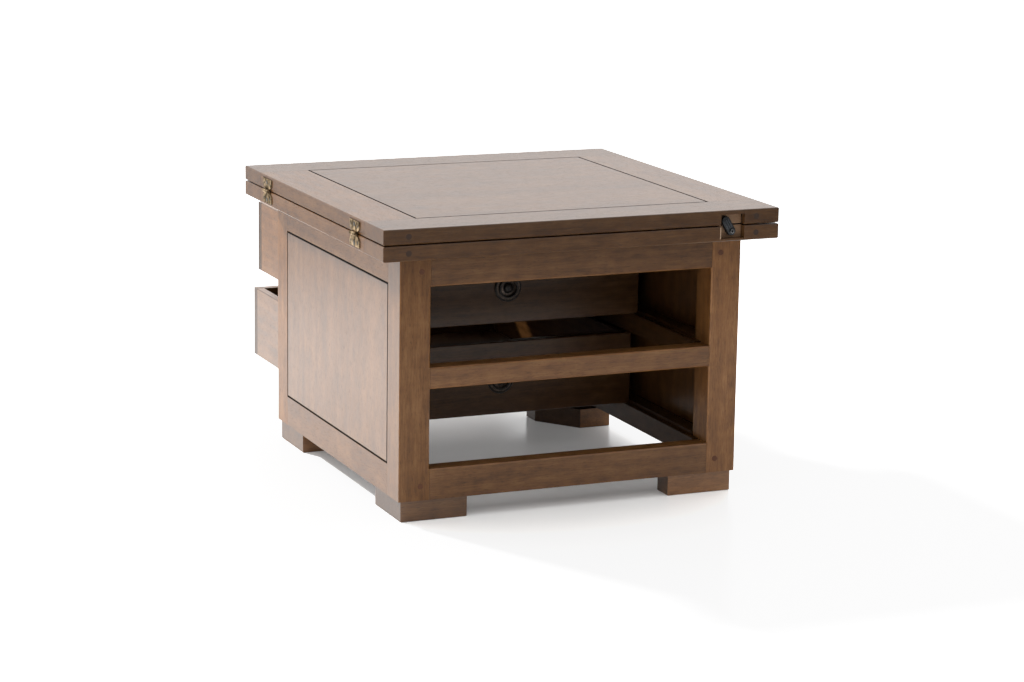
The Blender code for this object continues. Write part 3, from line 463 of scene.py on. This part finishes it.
HINGE_SCREWS = ((-0.0140, 0.0120, 0.0021), (0, 0.0140, 0.0036), (0.0140, 0.0120, 0.0021))
NEARLY = 0.9
JUST_OVER = 1.1
SAME_PLACE = 1e-6

TARNISH_EDGE = (0.38, 0.62)
RUBBED_ROUGHNESS = 0.28
TARNISH_ROUGHNESS = 0.2
METAL_BUMP = 0.15
METAL_RELIEF = 0.0003

metal, metal_in, metal_out = group_with_sockets(
    "Aged metal", {"Bright": "Color", "Tarnish": "Color", "Scale": "Float"},
    {"Colour": "Color", "Roughness": "Float", "Height": "Float"})
spot = put(metal, "TexCoord", {}).outputs["Object"]
patches = put(metal, "TexNoise", {"Vector": spot, "Scale": metal_in["Scale"], "Detail": 4}).outputs[0]
aged = held_range(metal, patches, *TARNISH_EDGE)
blend = put(metal, "Mix", {0: aged, 6: metal_in["Bright"], 7: metal_in["Tarnish"]}, data_type="RGBA")
metal.links.new(blend.outputs[2], metal_out["Colour"])
metal.links.new(share_of(metal, aged, TARNISH_ROUGHNESS, RUBBED_ROUGHNESS), metal_out["Roughness"])
metal.links.new(patches, metal_out["Height"])


def metal_finish(name, bright, tarnish, scale, metallic, edge=(1, 1, 1)):
    """A metal that is bright where it is rubbed and tarnished in patches; edge tints its edge-on shine."""
    finish = bpy.data.materials.new(name)
    finish.use_nodes = True
    tree = finish.node_tree
    age = put(tree, "Group", {}, node_tree=metal)
    age.inputs["Bright"].default_value = (*bright, 1)
    age.inputs["Tarnish"].default_value = (*tarnish, 1)
    age.inputs["Scale"].default_value = scale
    lift = put(tree, "Bump", {"Height": age.outputs["Height"], "Strength": METAL_BUMP,
                              "Distance": METAL_RELIEF})
    shader = tree.nodes["Principled BSDF"]
    tree.links.new(age.outputs["Colour"], shader.inputs["Base Color"])
    tree.links.new(age.outputs["Roughness"], shader.inputs["Roughness"])
    tree.links.new(lift.outputs["Normal"], shader.inputs["Normal"])
    shader.inputs["Metallic"].default_value = metallic
    shader.inputs["Specular Tint"].default_value = (*edge, 1)
    return finish


antique_brass = metal_finish("antique_brass", (0.37, 0.275, 0.175), (0.034, 0.025, 0.013), 120, 0.85,
                             (0.74, 0.64, 0.52))
hinge_screw_steel = metal_finish("hinge_screw_steel", (0.035, 0.027, 0.018), (0.008, 0.006, 0.005), 700, 0.4)


def spin_round(shape, axis, steps):
    """Spins all of a shape a full turn about an axis through the origin, and closes its seams."""
    bmesh.ops.spin(shape, geom=shape.verts[:] + shape.edges[:], cent=(0, 0, 0), axis=axis, angle=math.tau,
                   steps=steps, use_merge=True)
    bmesh.ops.remove_doubles(shape, verts=shape.verts, dist=SAME_PLACE)


def turned(profile, steps):
    """A solid of revolution about Z from (radius, height) points that start and end on the axis."""
    shape = bmesh.new()
    points = [shape.verts.new((radius, 0, height)) for radius, height in profile]
    for pair in zip(points, points[1:]):
        shape.edges.new(pair)
    spin_round(shape, (0, 0, 1), steps)
    return shape


def soften(shape, edges, width, steps):
    """Rounds some edges of a shape."""
    bmesh.ops.bevel(shape, geom=edges, offset=width, segments=steps, profile=0.5, affect="EDGES",
                    material=-1)


def add_to(shape, part, matrix):
    """Adds a finished part to a shape at a place."""
    bmesh.ops.transform(part, matrix=matrix, verts=part.verts)
    bmesh.ops.recalc_face_normals(part, faces=part.faces)
    carrier = bpy.data.meshes.new("part")
    part.to_mesh(carrier)
    part.free()
    shape.from_mesh(carrier)
    bpy.data.meshes.remove(carrier)


def slotted_screw(radius):
    """A sunk screw head with a sawn slot and a low dome, standing on the XY plane."""
    rise = radius * SCREW_RISE
    head = turned([(radius * out, rise * up) for out, up in SCREW_DOME], 20)
    slot = radius * SCREW_SLOT
    for side in (-1, 1):
        bmesh.ops.bisect_plane(head, geom=head.verts[:] + head.edges[:] + head.faces[:],
                               plane_co=(side * slot, 0, 0), plane_no=(1, 0, 0))
    sawn = [v for v in head.verts if abs(v.co.x) < slot / 2 and v.co.z > rise * SCREW_TOP]
    bmesh.ops.translate(head, verts=sawn, vec=(0, 0, -rise * SLOT_DEPTH))
    return head


def wing_outline(up, margin, thickness):
    """A butterfly wing in the YZ plane, its back at x = 0, below or above the hinge's axis."""
    half = [(HINGE_WAIST / 2 + margin, WING_START), (WING_BEND_WIDTH / 2 + margin, WING_BEND),
            (HINGE_WING / 2 + margin, WING_FULL), (HINGE_WING / 2 + margin, HINGE_HEIGHT + margin)]
    outline = [(-y, z) for y, z in half] + half[::-1]
    wing = bmesh.new()
    face = wing.faces.new([wing.verts.new((0, y, up * z)) for y, z in outline])
    drawn = bmesh.ops.extrude_face_region(wing, geom=[face])["geom"]
    raised = [v for v in drawn if isinstance(v, bmesh.types.BMVert)]
    bmesh.ops.translate(wing, verts=raised, vec=(-thickness, 0, 0))
    bends = [e for e in wing.edges if abs(e.verts[0].co.x - e.verts[1].co.x) > thickness * NEARLY
             and WING_BEND * NEARLY < abs(e.verts[0].co.z) < WING_FULL * JUST_OVER]
    soften(wing, bends, WING_BEND_ROUND, 4)
    return wing


def hinge_wing(up):
    """The cast wing, with a softened rim."""
    wing = wing_outline(up, 0, WING_THICKNESS)
    rim = [e for e in wing.edges if all(v.co.x < -WING_THICKNESS * NEARLY for v in e.verts)]
    soften(wing, rim, WING_RIM_ROUND, 2)
    return wing


def hinge_knuckle(start, end):
    """A length of barrel along Y with softened ends."""
    barrel = bmesh.new()
    bmesh.ops.create_cone(barrel, cap_ends=True, segments=28, radius1=KNUCKLE_RADIUS, radius2=KNUCKLE_RADIUS,
                          depth=end - start, matrix=Matrix.Rotation(math.pi / 2, 4, "X"))
    ends = [e for e in barrel.edges if abs(e.verts[0].co.y - e.verts[1].co.y) < SAME_PLACE]
    soften(barrel, ends, KNUCKLE_ROUND, 2)
    bmesh.ops.translate(barrel, verts=barrel.verts, vec=(0, (start + end) / 2, 0))
    return barrel


def hinge_web(start, end, up):
    """The curl of metal that joins a knuckle to its wing."""
    web = bmesh.new()
    reach = AXIS_FROM_LEAF - WING_GAP
    middle = (reach - WING_THICKNESS / 2, (start + end) / 2, up * WING_START * WEB_RISE)
    bmesh.ops.create_cube(web, size=1)
    bmesh.ops.scale(web, vec=(WING_THICKNESS, end - start, WING_START), verts=web.verts)
    bmesh.ops.translate(web, vec=middle, verts=web.verts)
    return web


third = HINGE_WAIST / 3
KNUCKLES = {"lower": ((-1.5 * third, -0.5 * third - KNUCKLE_GAP), (0.5 * third + KNUCKLE_GAP, 1.5 * third)),
            "upper": ((-0.5 * third + KNUCKLE_GAP, 0.5 * third - KNUCKLE_GAP),)}
for end in ("front", "rear"):
    low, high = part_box(f"hinge_{end}_lower")
    axis = Vector((low.x + KNUCKLE_RADIUS, (low.y + high.y) / 2, high.z - KNUCKLE_RADIUS))
    at_axis = Matrix.Translation(axis)
    at_wing = Matrix.Translation(axis + Vector((AXIS_FROM_LEAF - WING_GAP, 0, 0)))
    for level, up in (("lower", -1), ("upper", 1)):
        hinge = f"hinge_{end}_{level}"
        leaf = f"{level}_leaf"
        shape = bmesh.new()
        add_to(shape, hinge_wing(up), at_wing)
        for start, stop in KNUCKLES[level]:
            add_to(shape, hinge_knuckle(start, stop), at_axis)
            add_to(shape, hinge_web(start, stop, up), at_axis)
        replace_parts(finished(f"{hinge}_cast", shape, antique_brass, leaf), hinge)
        screws = bmesh.new()
        for y, z, radius in HINGE_SCREWS:
            slot_turn = Matrix.Rotation(SLOT_TURN + SLOT_TURN_TO_METRE * y, 4, "Z")
            out = Matrix.Rotation(-math.pi / 2, 4, "Y") @ slot_turn
            seat = axis + Vector((AXIS_FROM_LEAF - WING_GAP - WING_THICKNESS, y, up * z))
            add_to(screws, slotted_screw(radius), Matrix.Translation(seat) @ out)
        finished(f"{hinge}_screws", screws, hinge_screw_steel, leaf)
        # A dark sheet a little larger than the wing, set just under it and shifted to the rear: painted
        # shade round the wing.
        line = wing_outline(up, PAINTED_SHADE_MARGIN, WING_GAP * PAINTED_SHADE_DEPTH)
        bed = axis + Vector((AXIS_FROM_LEAF - WING_GAP * PAINTED_SHADE_BED, PAINTED_SHADE_SHIFT, 0))
        bmesh.ops.transform(line, verts=line.verts, matrix=Matrix.Translation(bed))
        finished(f"{hinge}_painted_shade_line", line, leaf_peg_end, leaf)


# Turn latch: a black cast arm that swings on a socket screw in a pocket cut across both leaf edges.
# Lengthwise ribs give the thumb a grip; they are coloured brighter than the arm, a painted highlight along
# them.
# Thin sheets on the pocket's back are coloured paler than the leaf, painted light in the recess, and its
# left edge is worn pale.
LATCH_RADIUS = 0.0068
LATCH_LENGTH = 0.0190
LATCH_THICKNESS = 0.010
LATCH_ROUND = 0.0012
LATCH_SIDES = 36
LATCH_LEAN = math.radians(31)
RIB_RADIUS = 0.0011
RIB_PLACES = (-0.0034, 0, 0.0034)
RIB_START = 0.0062
RIB_SHORTER = 0.006

latch_black = metal_finish("latch_black", (0.010, 0.011, 0.013), (0.004, 0.005, 0.006), 400, 0.4)
rib_painted_highlight = metal_finish("rib_painted_highlight", (0.046, 0.051, 0.058), (0.016, 0.018, 0.021), 600, 0.6)
dim_steel = metal_finish("dim_steel", (0.16, 0.16, 0.16), (0.06, 0.06, 0.06), 500, 1.0)

low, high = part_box("latch_screw")
pivot = Vector(((low.x + high.x) / 2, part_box("latch_arm")[1].y, (low.z + high.z) / 2))
upright = Matrix.Rotation(math.pi / 2, 4, "X")
shape = bmesh.new()
bmesh.ops.create_circle(shape, cap_ends=True, segments=LATCH_SIDES, radius=LATCH_RADIUS,
                        matrix=upright @ Matrix.Rotation(math.pi / LATCH_SIDES, 4, "Z"))
bmesh.ops.translate(shape, verts=[v for v in shape.verts if v.co.z > 0], vec=(0, 0, LATCH_LENGTH))
drawn = bmesh.ops.extrude_face_region(shape, geom=shape.faces[:])["geom"]
bmesh.ops.translate(shape, verts=[v for v in drawn if isinstance(v, bmesh.types.BMVert)],
                    vec=(0, RIB_RADIUS - LATCH_THICKNESS, 0))
front = [e for e in shape.edges if all(v.co.y < -LATCH_THICKNESS / 2 for v in e.verts)]
soften(shape, front, LATCH_ROUND, 3)
leaned = Matrix.Translation(pivot) @ Matrix.Rotation(-LATCH_LEAN, 4, "Y")
bmesh.ops.transform(shape, verts=shape.verts, matrix=leaned)
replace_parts(finished("latch_cast_arm", shape, latch_black, "latch"), "latch_arm")
ribs = bmesh.new()
for x in RIB_PLACES:
    rib = bmesh.new()
    bmesh.ops.create_uvsphere(rib, u_segments=12, v_segments=8, radius=RIB_RADIUS)
    bmesh.ops.translate(rib, verts=[v for v in rib.verts if v.co.z > SAME_PLACE],
                        vec=(0, 0, LATCH_LENGTH - RIB_SHORTER))
    add_to(ribs, rib, leaned @ Matrix.Translation((x, RIB_RADIUS - LATCH_THICKNESS, RIB_START)))
finished("latch_ribs", ribs, rib_painted_highlight, "latch")

SOCKET = ((0, -0.0030), (0.0014, -0.0030), (0.0015, 0.0008))
SCREW_HEAD = ((0.0018, 0.0012), (0.0026, 0.0012), (0.0032, 0.0008), (0.0035, 0))
SCREW_SHANK = ((0.0022, 0), (0.002, -0.004), (0.002, -0.020), (0, -0.021))
SCREW_CLEAR = 0.0003
head = turned(SOCKET + SCREW_HEAD + SCREW_SHANK, 28)
screw_seat = pivot - Vector((0, LATCH_THICKNESS + SCREW_CLEAR, 0))
bmesh.ops.transform(head, verts=head.verts, matrix=Matrix.Translation(screw_seat) @ upright)
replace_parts(finished("latch_socket_screw", head, dim_steel, "lower_leaf"), "latch_screw")

POCKET_WIDTH = 0.040
POCKET_SILL = 0.0039
POCKET_COVER = 0.0065
POCKET_BEHIND_ARM = 0.0003
POCKET_SKIN = 0.0001
POCKET_SKIN_PROUD = 0.00002
POCKET_INSET = 0.0002
WORN_WIDTH = 0.0012
WORN_PROUD = 0.00002
WORN_BELOW_TOP = 0.001
pocket_painted_light_wood = end_grain("pocket_painted_light_wood", (0.130, 0.072, 0.038), (0.290, 0.172, 0.098))
worn_wood = end_grain("worn_wood", (0.30, 0.20, 0.13), (0.42, 0.30, 0.21))


def slab(low, high):
    """A plain block between two corners."""
    shape = bmesh.new()
    bmesh.ops.create_cube(shape, size=1)
    bmesh.ops.scale(shape, vec=high - low, verts=shape.verts)
    bmesh.ops.translate(shape, vec=(low + high) / 2, verts=shape.verts)
    return shape


# Sheets on the pocket's back, coloured paler than the leaf boards: painted light in the recess.
back = pivot.y + POCKET_BEHIND_ARM - POCKET_SKIN_PROUD
half = POCKET_WIDTH / 2 - POCKET_INSET
for leaf, sill, cover in (("lower_leaf", POCKET_SILL, 0), ("upper_leaf", 0, POCKET_COVER)):
    low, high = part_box(f"{leaf}_front_rail")
    bottom = low.z + sill + POCKET_INSET
    top = high.z - cover - POCKET_INSET
    skin = slab(Vector((pivot.x - half, back - POCKET_SKIN, bottom)), Vector((pivot.x + half, back, top)))
    finished(f"{leaf}_pocket_painted_light_sheet", skin, pocket_painted_light_wood, leaf)
low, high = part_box("lower_leaf_front_rail")
edge = pivot.x - POCKET_WIDTH / 2
strip = slab(Vector((edge - WORN_WIDTH, low.y - WORN_PROUD, low.z + POCKET_SILL)),
             Vector((edge, low.y + POCKET_SKIN, high.z - WORN_BELOW_TOP)))
finished("pocket_worn_edge", strip, worn_wood, "lower_leaf")


# Pivot bolt: a plain steel bolt under the lower leaf, with a broad flange let into the panel.
# The top turns on it in the pivot rail, and a nut below keeps it down.
bolt_steel = metal_finish("bolt_steel", (0.30, 0.29, 0.28), (0.12, 0.115, 0.11), 500, 1.0)
nodes["pivot_bolt"].data.materials.clear()
nodes["pivot_bolt"].data.materials.append(bolt_steel)


# Ring pulls: cast plates of dark bronze, one on each face of each drawer, with a boss in the middle.
# The ring is bent wire that hangs in an eye at the top of the plate and rests against it.
PLATE_RADIUS = 0.023
PLATE_THICKNESS = 0.002
PLATE_EDGE = 0.55
BOSS_RADIUS = 0.0085
BOSS_HEIGHT = 0.0065
BOSS_DOME = ((0, 1), (0.30, 0.985), (0.58, 0.92), (0.80, 0.74), (0.95, 0.48))
BOSS_FOOT = ((1, 1.15), (1.08, 1.15), (1.14, 1))
PLATE_RIM = ((0.0196, 0), (0.0200, 0.0004), (0.0207, 0.0008), (0.0217, 0.0007), (0.0225, 0.0001))
FIELD_FROM = BOSS_RADIUS * 1.1
FIELD_TO = 0.0198
RING_RADIUS = 0.015
WIRE_RADIUS = 0.0018
RING_OUT = 0.0042
EYE_OUTER = 0.0036
EYE_INNER = 0.0023
EYE_WIDTH = 0.006
EYE_ROUND = 0.0005
EYE_SECTION = ((-EYE_WIDTH / 2, EYE_INNER), (EYE_WIDTH / 2, EYE_INNER),
               (EYE_WIDTH / 2, EYE_OUTER), (-EYE_WIDTH / 2, EYE_OUTER))

dark_bronze = metal_finish("dark_bronze", (0.026, 0.020, 0.016), (0.009, 0.007, 0.006), 300, 0.5)
# The field between boss and rim takes a lighter bronze than the rest: painted light there, leaving the boss
# and rim darker as painted shade.
plate_field_painted_light = metal_finish("plate_field_painted_light", (0.095, 0.071, 0.056), (0.045, 0.033, 0.026), 300, 0.6)
plate_profile = [(BOSS_RADIUS * out, BOSS_HEIGHT * up) for out, up in BOSS_DOME]
plate_profile += [(BOSS_RADIUS * out, PLATE_THICKNESS * up) for out, up in BOSS_FOOT]
plate_profile += [(radius, PLATE_THICKNESS + rise) for radius, rise in PLATE_RIM]
plate_profile += [(PLATE_RADIUS, PLATE_THICKNESS * PLATE_EDGE), (PLATE_RADIUS, 0), (0, 0)]
for drawer in ("upper_drawer", "lower_drawer"):
    for end, facing in (("front", -1), ("rear", 1)):
        low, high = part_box(f"{drawer}_{end}_pull_plate")
        base = Vector(((low.x + high.x) / 2, high.y if facing < 0 else low.y, low.z + PLATE_RADIUS))
        place = Matrix.Translation(base) @ Matrix.Rotation(0 if facing < 0 else math.pi, 4, "Z")
        shape = bmesh.new()
        add_to(shape, turned(plate_profile, 64), place @ upright)
        eye = bmesh.new()
        corners = [eye.verts.new((x, 0, radius)) for x, radius in EYE_SECTION]
        for pair in zip(corners, corners[1:] + corners[:1]):
            eye.edges.new(pair)
        spin_round(eye, (1, 0, 0), 28)
        rims = [e for e in eye.edges if abs(e.verts[0].co.x - e.verts[1].co.x) < SAME_PLACE
                and all(v.co.yz.length > EYE_OUTER * NEARLY for v in e.verts)]
        soften(eye, rims, EYE_ROUND, 2)
        add_to(shape, eye, place @ Matrix.Translation((0, -RING_OUT, RING_RADIUS)))
        plate = finished(f"{drawer}_{end}_cast_plate", shape, dark_bronze, drawer)
        plate.data.materials.append(plate_field_painted_light)
        for face in plate.data.polygons:
            spot = face.center - base
            if FIELD_FROM < spot.xz.length < FIELD_TO and abs(spot.y) < PLATE_THICKNESS * JUST_OVER:
                face.material_index = 1
        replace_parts(plate, f"{drawer}_{end}_pull_plate")
        ring = bmesh.new()
        bmesh.ops.create_circle(ring, segments=18, radius=WIRE_RADIUS)
        bmesh.ops.translate(ring, verts=ring.verts, vec=(RING_RADIUS, 0, 0))
        spin_round(ring, (0, 1, 0), 64)
        bmesh.ops.transform(ring, verts=ring.verts, matrix=place @ Matrix.Translation((0, -RING_OUT, 0)))
        wire = finished(f"{drawer}_{end}_wire_ring", ring, dark_bronze, f"{drawer}_{end}_ring")
        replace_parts(wire, f"{drawer}_{end}_pull_ring")


# Studio floor: a wide sheet of smooth white acrylic that the table stands on, faintly lit from below.
# It has a little gloss, so that the feet show in it.
FLOOR_RADIUS = 1.7
FLOOR_MIDDLE = (0, -0.12, 0)
FLOOR_WHITE = (0.90, 0.90, 0.893, 1)
FLOOR_GLOW = 0.115
FLOOR_ROUGHNESS = 0.22
FLOOR_GLOSS = 0.32
shape = bmesh.new()
bmesh.ops.create_circle(shape, cap_ends=True, segments=96, radius=FLOOR_RADIUS,
                        matrix=Matrix.Translation(FLOOR_MIDDLE))
floor_mesh = bpy.data.meshes.new("floor")
shape.to_mesh(floor_mesh)
shape.free()
floor = bpy.data.objects.new("floor", floor_mesh)
bpy.context.scene.collection.objects.link(floor)
white_acrylic = bpy.data.materials.new("white_acrylic")
white_acrylic.use_nodes = True
sheet = white_acrylic.node_tree.nodes["Principled BSDF"]
sheet.inputs["Base Color"].default_value = FLOOR_WHITE
sheet.inputs["Emission Color"].default_value = (1, 1, 1, 1)
sheet.inputs["Emission Strength"].default_value = FLOOR_GLOW
sheet.inputs["Roughness"].default_value = FLOOR_ROUGHNESS
sheet.inputs["Specular IOR Level"].default_value = FLOOR_GLOSS
floor_mesh.materials.append(white_acrylic)


# Studio light: white all round, dimmer behind the camera, and a large lamp far off at the rear left.
# The lamp throws the long pale shadow to the front right; its way and rise come from that shadow's edges.
SKY_GLOWS = {"overhead": ((0, 0, 1), (0.0, 1.0), (0.0, 1.5)),
             "right": ((0.8, 0.6, 0), (0.2, 0.9), (0.0, 0.70)),
             "left": ((-0.85, 0.53, 0), (0.2, 0.9), (0.0, 0.62)),
             "rear": ((0, 1, 0), (-1.0, 1.0), (0.22, 0.64))}
BACKDROP_GLOW = 2.3
LAMP_WAY = Vector((-0.43, 0.903, 0.0)).normalized()
LAMP_RISE = math.radians(33)
LAMP_SPREAD = math.radians(4)
LAMP_STRENGTH = 7.5

world = bpy.data.worlds.new("studio")
world.use_nodes = True
bpy.context.scene.world = world
tree = world.node_tree
background = tree.nodes["Background"]
way = put(tree, "TexCoord", {}).outputs["Generated"]
glows = []
for toward, turn_range, glow_range in SKY_GLOWS.values():
    turn = put(tree, "VectorMath", {0: way, 1: toward}, operation="DOT_PRODUCT").outputs["Value"]
    glows.append(held_range(tree, turn, *turn_range, *glow_range))
glow = glows[0]
for other in glows[1:]:
    glow = put(tree, "Math", {0: glow, 1: other}, operation="ADD").outputs[0]
seen = put(tree, "LightPath", {}).outputs["Is Camera Ray"]
shown = put(tree, "Mix", {0: seen, 2: glow, 3: BACKDROP_GLOW})
tree.links.new(shown.outputs[0], background.inputs["Strength"])
background.inputs["Color"].default_value = (1, 1, 1, 1)

lamp_light = bpy.data.lights.new("lamp", "SUN")
lamp_light.angle = LAMP_SPREAD
lamp_light.energy = LAMP_STRENGTH
lamp = bpy.data.objects.new("lamp", lamp_light)
lamp.visible_glossy = False
from_lamp = -LAMP_WAY * math.cos(LAMP_RISE) - Vector((0, 0, math.sin(LAMP_RISE)))
lamp.rotation_euler = from_lamp.to_track_quat("-Z", "Y").to_euler()
bpy.context.scene.collection.objects.link(lamp)


# Camera: a long lens at the photograph's angle, to the left of the front and a little above.
# Its place, turn and lens come from the edges of the table in the photograph.
# The highlights roll off softly, so that the pale shadow on the white floor still shows.
SENSOR_WIDTH = 36
LENS_LENGTH = 101.257
CAMERA_PLACE = (-1.777053, -4.304025, 1.188307)
CAMERA_TURN = (1.357383, -0.014937, -0.403472)
BRIGHTEST = 2.0
ROLL_OFF = ((0.70, 0.70), (0.85, 0.88), (1.0, 0.925), (1.35, 0.955))
lens = bpy.data.cameras.new("camera")
lens.sensor_width = SENSOR_WIDTH
lens.lens = LENS_LENGTH
camera = bpy.data.objects.new("camera", lens)
camera.location = CAMERA_PLACE
camera.rotation_euler = CAMERA_TURN
bpy.context.scene.collection.objects.link(camera)
bpy.context.scene.camera = camera
view = bpy.context.scene.view_settings
view.view_transform = "Standard"
view.use_curve_mapping = True
view.curve_mapping.clip_max_x = BRIGHTEST
response = view.curve_mapping.curves[3]
response.points[1].location = (BRIGHTEST, 1.0)
for light, tone in ROLL_OFF:
    response.points.new(light, tone)
for point in response.points:
    point.handle_type = "VECTOR"
view.curve_mapping.update()
